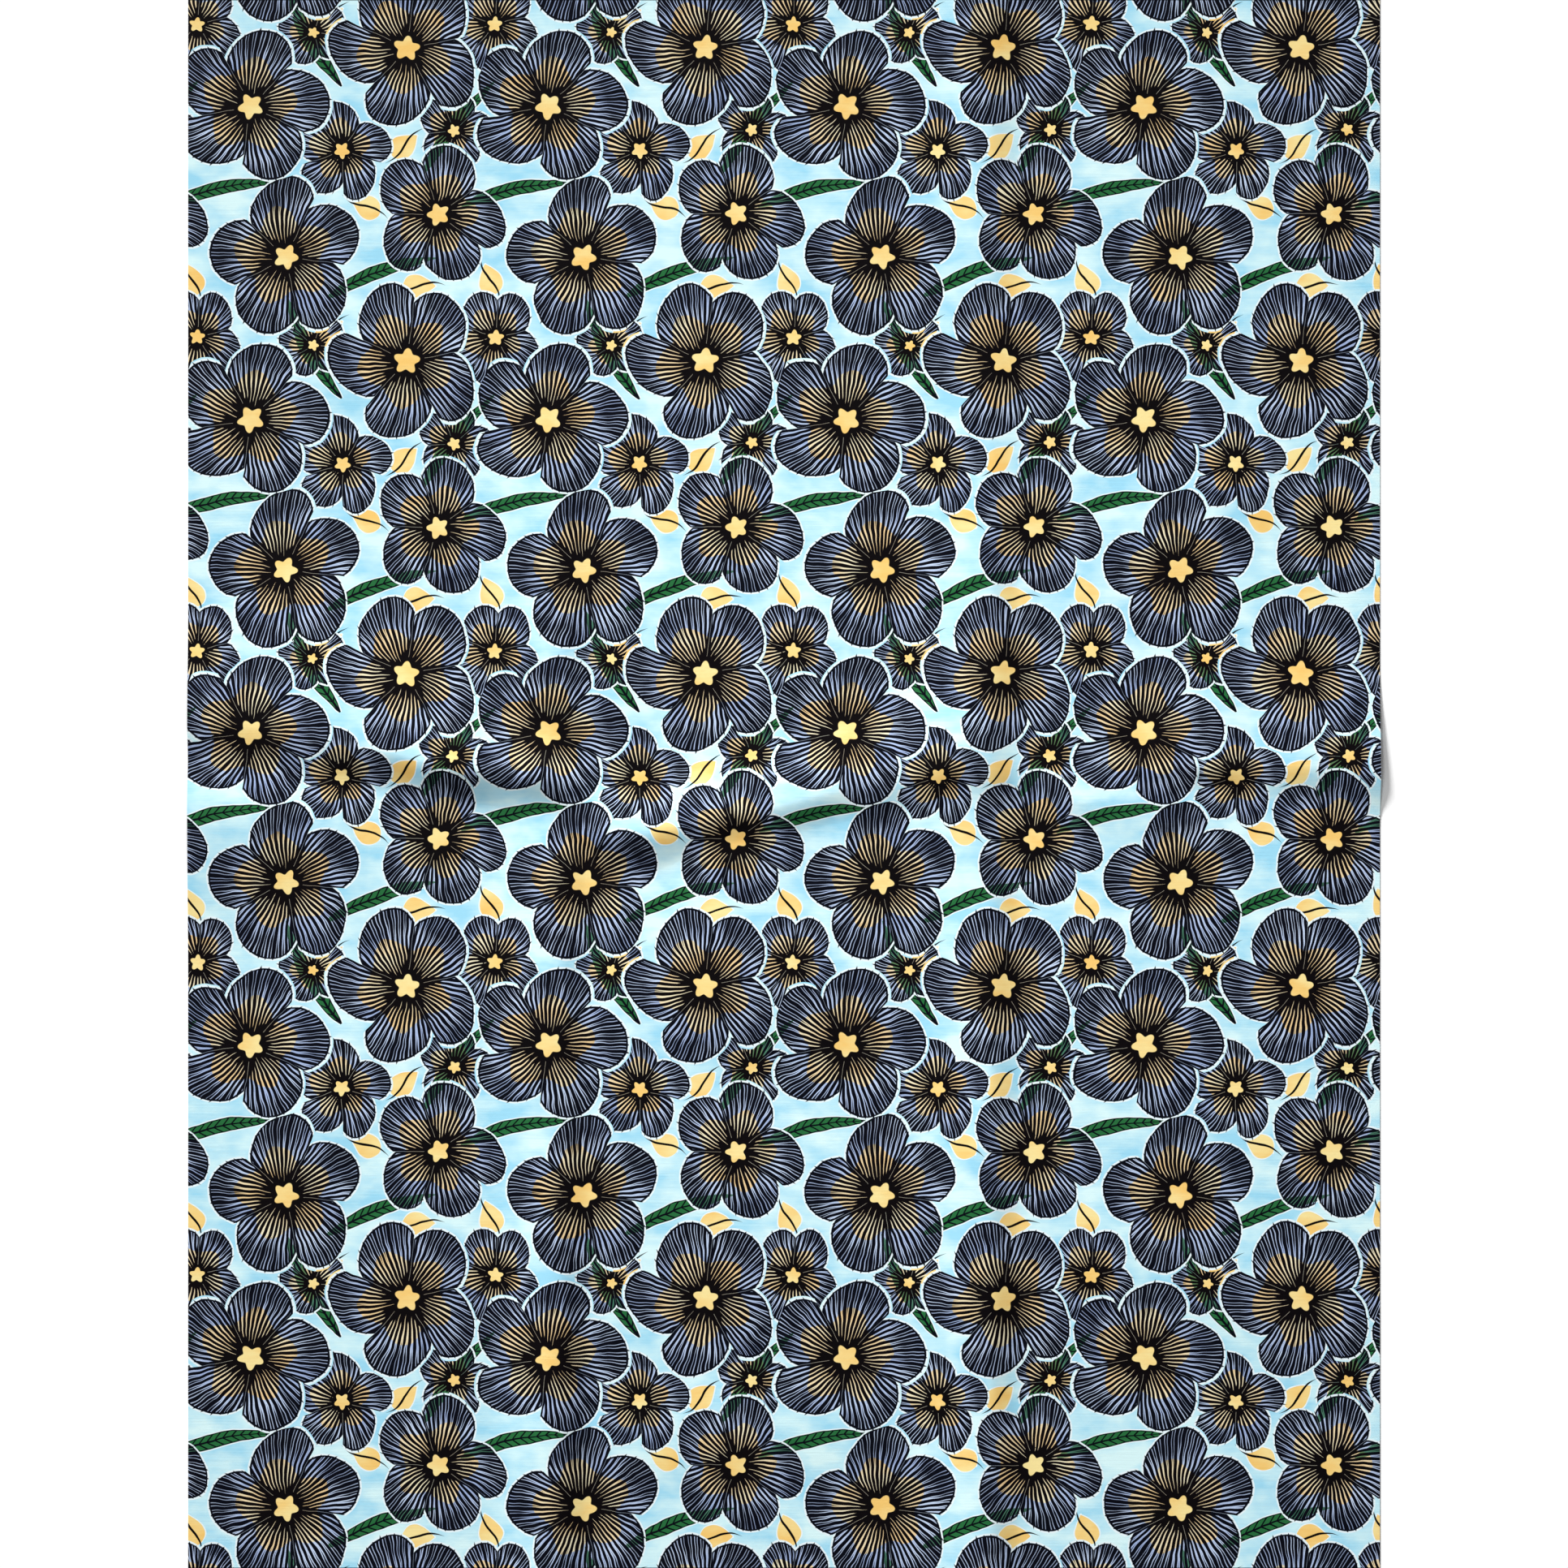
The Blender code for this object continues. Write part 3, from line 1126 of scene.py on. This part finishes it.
LEFT_FOLD = PressedFold(
    along=-0.173,
    left=0.050,
    right=0.022,
    stations=table(
        FoldStation,
        # across, height
        (0.434, 0.0),
        (0.309, 0.0012),
        (0.230, 0.0022),
        (0.170, 0.0014),
        (0.110, 0.0022),
        (0.070, 0.0022),
        (0.035, 0.0004),
        (-0.030, 0.0004),
        (-0.070, 0.0030),
        (-0.184, 0.0031),
        (-0.260, 0.0010),
        (-0.335, 0.0028),
        (-0.435, 0.0044),
        (-0.480, 0.0042),
        (-0.540, 0.0032),
        (-0.602, 0.0034),
    ),
)
RIGHT_FOLD = PressedFold(
    along=0.157,
    left=0.060,
    right=0.024,
    stations=table(
        FoldStation,
        (0.602, 0.0031),
        (0.555, 0.0022),
        (0.505, 0.0031),
        (0.396, 0.0020),
        (0.250, 0.0014),
        (0.178, 0.0030),
        (0.128, 0.0038),
        (-0.046, 0.0028),
        (-0.134, 0.0039),
        (-0.184, 0.0029),
        (-0.270, 0.0046),
        (-0.335, 0.0036),
        (-0.400, 0.0046),
        (-0.470, 0.0034),
        (-0.540, 0.0042),
        (-0.602, 0.0046),
    ),
)


@dataclass(frozen=True)
class Raised:
    """A place where the cloth is raised along a short line."""

    along: float  # the line's middle in X
    across: float  # its middle in Y
    turn: float  # its angle from X, in degrees
    length: float  # its reach each way from the middle

    def out_and_side(self, x: Array, y: Array) -> tuple[Array, Array]:
        """Works out where points of the floor lie, as seen from the line.

        Args:
            x: Their places along the cloth.
            y: Their places across it.

        Returns:
            How far out along the line they are, in its lengths, and how far to its left.
        """
        angle = radians(self.turn)
        from_x, from_y = x - self.along, y - self.across
        out = (from_x * cos(angle) + from_y * sin(angle)) / self.length
        return out, from_y * cos(angle) - from_x * sin(angle)


@dataclass(frozen=True)
class Swell(Raised):
    """A low swell in the cloth, with its reach to each side and the height of its middle."""

    width: float
    height: float

    def rise(self, x: Array, y: Array) -> Array:
        """The swell's height over points of the floor."""
        out, side = self.out_and_side(x, y)
        return self.height * np.maximum(1.0 - out**2 - (side / self.width) ** 2, 0.0) ** 2


@dataclass(frozen=True)
class Crease(Raised):
    """A short, sharp crease, which fades out towards both ends."""

    height: float  # at its middle
    above: float  # its reach to the left of the crest, as one looks along it
    below: float  # its reach to the right of the crest
    blunt: float = 0.12  # how far the crest is rounded, in reaches

    def rise(self, x: Array, y: Array) -> Array:
        """Works out the crease's height over points of the floor.

        Args:
            x: Their places along the cloth.
            y: Their places across it.

        Returns:
            The height there.
        """
        out, side = self.out_and_side(x, y)
        faded = np.maximum(1.0 - out**2, 0.0) ** 2
        return self.height * faded * section(side, self.below, self.above, self.blunt)


# The short creases near the ridge, from the left cut end to the right one.
CREASES = table(
    Crease,
    # along, across, turn, length, height, above, below
    (-0.250, 0.008, -10, 0.040, 0.0014, 0.018, 0.018),
    (-0.178, 0.004, -6, 0.045, 0.0022, 0.020, 0.016),
    (-0.144, -0.040, 5, 0.024, 0.0016, 0.018, 0.018),
    (0.044, 0.009, -35, 0.022, 0.0012, 0.010, 0.010),
    (0.122, 0.036, -27, 0.045, 0.0022, 0.032, 0.030),
    (0.283, 0.009, -10, 0.020, 0.0014, 0.012, 0.010),
    (0.324, 0.013, -20, 0.032, 0.0006, 0.012, 0.012),
)
SWELLS = table(
    Swell,
    # along, across, turn, length, width, height
    (-0.02, -0.15, 4, 0.16, 0.09, 0.0022),
    (-0.30, 0.33, 14, 0.16, 0.05, 0.0008),
    (0.02, 0.42, -8, 0.20, 0.06, 0.0007),
    (0.33, 0.22, 35, 0.13, 0.06, 0.0008),
    (-0.36, -0.27, 70, 0.15, 0.05, 0.0008),
    (0.33, -0.38, -24, 0.16, 0.06, 0.0008),
    (-0.05, -0.50, 4, 0.18, 0.05, 0.0007),
)


@dataclass(frozen=True)
class Cloth:
    """The cloth: one woven sheet with a selvedge along each side, laid over its folds."""

    finish: CottonFinish = CottonFinish()
    ridge: SprungRidge = SprungRidge(RIDGE)
    rises: tuple[SprungRidge, ...] = (
        SprungRidge(LEFT_RISE),
        SprungRidge(MIDDLE_RISE),
        SprungRidge(RIGHT_RISE),
    )
    folds: tuple[PressedFold, ...] = (LEFT_FOLD, RIGHT_FOLD)
    creases: tuple[Crease, ...] = CREASES
    swells: tuple[Swell, ...] = SWELLS
    thickness: float = 0.0004
    off_floor: float = 0.0001

    column_step: float = 0.0056
    row_step: float = 0.008
    flank_rows: int = 22  # on each flank of the ridge
    flank_columns: int = 8  # on each flank of a pressed fold
    clear_of_fold: float = 0.002
    facing_up: float = 0.5  # the least that an upper face's normal rises
    sharp_over: float = 50.0  # in degrees: an edge whose faces turn by more is sharp

    map_margin: float = 0.004  # round each side of the cloth in the bake map

    def height(self, x: Array, y: Array) -> Array:
        """How high the cloth's underside lies over points of the floor."""
        forms = (self.ridge, *self.rises, *self.folds, *self.creases, *self.swells)
        return sum(form.rise(x, y) for form in forms) + self.off_floor

    def columns(self) -> Array:
        """Spaces the lines across the cloth that divide it, closer together over its pressed folds.

        Returns:
            Their places in X, in order.
        """
        half = CUT.length / 2
        even = np.linspace(-half, half, round(2 * half / self.column_step) + 1)
        for fold in self.folds:
            first, last = fold.along - fold.left, fold.along + fold.right
            clear = self.clear_of_fold
            even = even[(even < first - clear) | (even > last + clear)]
            left = np.linspace(first, fold.along, self.flank_columns, endpoint=False)
            right = np.linspace(fold.along, last, self.flank_columns + 1)
            even = np.concatenate([even, left, right])
        return np.sort(even)

    def rows(self, x: Array) -> Array:
        """Places in Y of the cloth's rows, even but for those that follow the ridge.

        Args:
            x: The columns' places.

        Returns:
            One line of places for each column.
        """
        crest, _, above, below = self.ridge.read(x)
        top, bottom = crest + above, crest - below
        half = CUT.laid_width / 2
        count = round(half / self.row_step)
        lower = np.linspace(np.full_like(x, -half), bottom, count, endpoint=False)
        lower_flank = np.linspace(bottom, crest, self.flank_rows, endpoint=False)
        upper_flank = np.linspace(crest, top, self.flank_rows, endpoint=False)
        upper = np.linspace(top, np.full_like(x, half), count + 1)
        return np.concatenate([lower, lower_flank, upper_flank, upper]).T

    def flat_places(self, x: Array, y: Array, z: Array) -> Array:
        """Works out where each point was across the cloth before it was laid.

        Args:
            x: The points' places along the cloth, by column and row.
            y: Their places across it.
            z: Their heights.

        Returns:
            Their places across the flat cloth.
        """
        steps = np.hypot(np.diff(y, axis=1), np.diff(z, axis=1))
        run = np.concatenate([np.zeros((len(x), 1)), np.cumsum(steps, axis=1)], axis=1)
        return (run / run[:, -1:] - 0.5) * CUT.woven_width

    def build(self) -> bpy.types.Object:
        """Makes the cloth.

        Returns:
            The cloth, with its maps and its finish.
        """
        columns = self.columns()
        y = self.rows(columns)
        x = np.broadcast_to(columns[:, None], y.shape)
        z = self.height(x, y)
        flat_y = self.flat_places(x, y, z)
        last_column, last_row = y.shape[0] - 1, y.shape[1] - 1

        bm = bmesh.new()
        bmesh.ops.create_grid(bm, x_segments=last_column, y_segments=last_row, size=0.5)
        flat = bm.loops.layers.uv.new(FLAT_MAP)
        bake = bm.loops.layers.uv.new(BAKE_MAP)
        flat_of: dict[bmesh.types.BMVert, tuple[float, float]] = {}
        for vert in bm.verts:
            column = round((vert.co.x + 0.5) * last_column)
            row = round((vert.co.y + 0.5) * last_row)
            vert.co = (x[column, row], y[column, row], z[column, row])
            flat_of[vert] = (float(x[column, row]), float(flat_y[column, row]))
        for face in bm.faces:
            for loop in face.loops:
                loop[flat].uv = flat_of[loop.vert]
                loop[bake].uv = self.bake_place(*flat_of[loop.vert], Side.UPPER)
        upper = list(bm.faces)
        wall = bmesh.ops.extrude_face_region(bm, geom=upper, use_keep_orig=True)
        raised = [part for part in wall["geom"] if isinstance(part, bmesh.types.BMVert)]
        bmesh.ops.translate(bm, verts=raised, vec=(0.0, 0.0, self.thickness))
        bmesh.ops.recalc_face_normals(bm, faces=bm.faces)
        bm.normal_update()
        for face in bm.faces:
            if face.normal.z < self.facing_up:
                for loop in face.loops:
                    loop[bake].uv = self.bake_place(*loop[flat].uv, Side.UNDER)
        mesh = bpy.data.meshes.new("laid_cloth")
        bm.to_mesh(mesh)
        bm.free()
        mesh.shade_smooth()
        mesh.set_sharp_from_angle(angle=radians(self.sharp_over))
        mesh.materials.append(self.finish.make())
        return placed("laid_cloth", mesh)

    def bake_place(self, x: float, y: float, side: Side) -> tuple[float, float]:
        """Works out where a point of the cloth goes in the bake map.

        The cloth's width runs along the map, and its underside has a narrow strip of its own.

        Args:
            x: The point's place along the flat cloth.
            y: Its place across it.
            side: The side of the cloth that the point is on.

        Returns:
            Its place in the map, from 0 to 1.
        """
        run = y / CUT.woven_width + 0.5
        rise = x / CUT.length + 0.5
        low, high = side.value
        inner = 1.0 - 2 * self.map_margin
        u = self.map_margin + inner * run
        v = low + self.map_margin + (high - low - 2 * self.map_margin) * rise
        return u, v

    def declare(self, cloth: bpy.types.Object) -> None:
        """Attaches the cloth to the frame's root body, and hides the CAD cloth solid that it replaces.

        Args:
            cloth: The finished cloth.
        """
        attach(cloth, "root")
        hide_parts(CLOTH_NODE)


# The studio.


@dataclass(frozen=True)
class SoftLight:
    """A square of soft light that points straight down at the cloth."""

    name: str  # the lamp's name
    at: Triple  # where it hangs
    side: float  # the length of each of its sides
    power: float  # in watts

    def build(self) -> None:
        """Hangs the light."""
        data = bpy.data.lights.new(self.name, "AREA")
        data.size = self.side
        data.energy = self.power
        placed(self.name, data).location = self.at


@dataclass(frozen=True)
class LowLight:
    """A broad, far light from low on one side, which brings out the folds."""

    name: str  # the lamp's name
    bearing: float  # where it comes from, in degrees round from +X
    elevation: float  # how high it stands, in degrees
    spread: float  # how wide it looks from the cloth, in degrees
    strength: float  # in watts a square metre

    def build(self) -> None:
        """Hangs the light."""
        data = bpy.data.lights.new(self.name, "SUN")
        data.angle = radians(self.spread)
        data.energy = self.strength
        lamp = placed(self.name, data)
        bearing, elevation = radians(self.bearing), radians(self.elevation)
        level = cos(elevation)
        lamp.location = (level * cos(bearing), level * sin(bearing), sin(elevation))
        lamp.rotation_euler = (-lamp.location).to_track_quat("-Z", "Y").to_euler()


@dataclass(frozen=True)
class Studio:
    """The pale floor, the lights and the camera, which looks straight down at the cloth."""

    floor_side: float = 24.0
    floor_roughness: float = 0.9
    floor_specular: float = 0.2
    camera_height: float = 2.4
    framed: float = 1.2034  # the width of cloth that the frame takes in
    sensor: float = 36.0
    sky: float = 0.255
    lights: tuple[Union[SoftLight, LowLight], ...] = (
        LowLight("low_light", bearing=122.0, elevation=16.0, spread=12.0, strength=7.95),
        SoftLight("high_light", at=(-0.05, 0.10, 0.8), side=0.3, power=2.3),
    )

    def floor(self) -> bpy.types.Object:
        """Lays the floor.

        Returns:
            The floor.
        """
        bm = bmesh.new()
        bmesh.ops.create_grid(bm, x_segments=1, y_segments=1, size=self.floor_side / 2)
        mesh = bpy.data.meshes.new("floor")
        bm.to_mesh(mesh)
        bm.free()
        material, shader = plain_material("pale_floor")
        looks = {"Roughness": self.floor_roughness, "Specular IOR Level": self.floor_specular}
        set_inputs(shader, {"Base Color": WHITE, **looks})
        mesh.materials.append(material)
        floor = placed("floor", mesh)
        return floor

    def camera(self) -> None:
        """Hangs the scene's camera over the cloth's middle, with +Y up in its picture."""
        data = bpy.data.cameras.new("camera")
        data.sensor_width = self.sensor
        data.lens = self.sensor * self.camera_height / self.framed
        camera = placed("camera", data)
        camera.location = (0.0, 0.0, self.camera_height)
        bpy.context.scene.camera = camera

    def light(self) -> None:
        """Hangs the lights and sets the room's own pale light."""
        for light in self.lights:
            light.build()
        world = bpy.data.worlds.new("room")
        world.use_nodes = True
        background = world.node_tree.nodes["Background"]
        set_inputs(background, {"Color": WHITE, "Strength": self.sky})
        bpy.context.scene.world = world
        bpy.context.scene.view_settings.view_transform = "Standard"


def clear_scene() -> None:
    """Removes whatever the new scene holds."""
    for obj in list(bpy.data.objects):
        bpy.data.objects.remove(obj, do_unlink=True)


def main() -> None:
    """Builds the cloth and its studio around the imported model."""
    logging.basicConfig(level=logging.INFO, format="%(name)s: %(message)s")
    clear_scene()
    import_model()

    studio = Studio()
    floor = studio.floor()
    studio.camera()
    studio.light()
    LOG.info("studio: floor %.1f m wide, %d lights", studio.floor_side, len(studio.lights))

    cloth_form = Cloth()
    cloth = cloth_form.build()
    cloth_form.declare(cloth)
    material = cloth.data.materials[0]
    LOG.info("cloth: %d faces, %d nodes", len(cloth.data.polygons), len(material.node_tree.nodes))


if __name__ == "__main__":
    main()
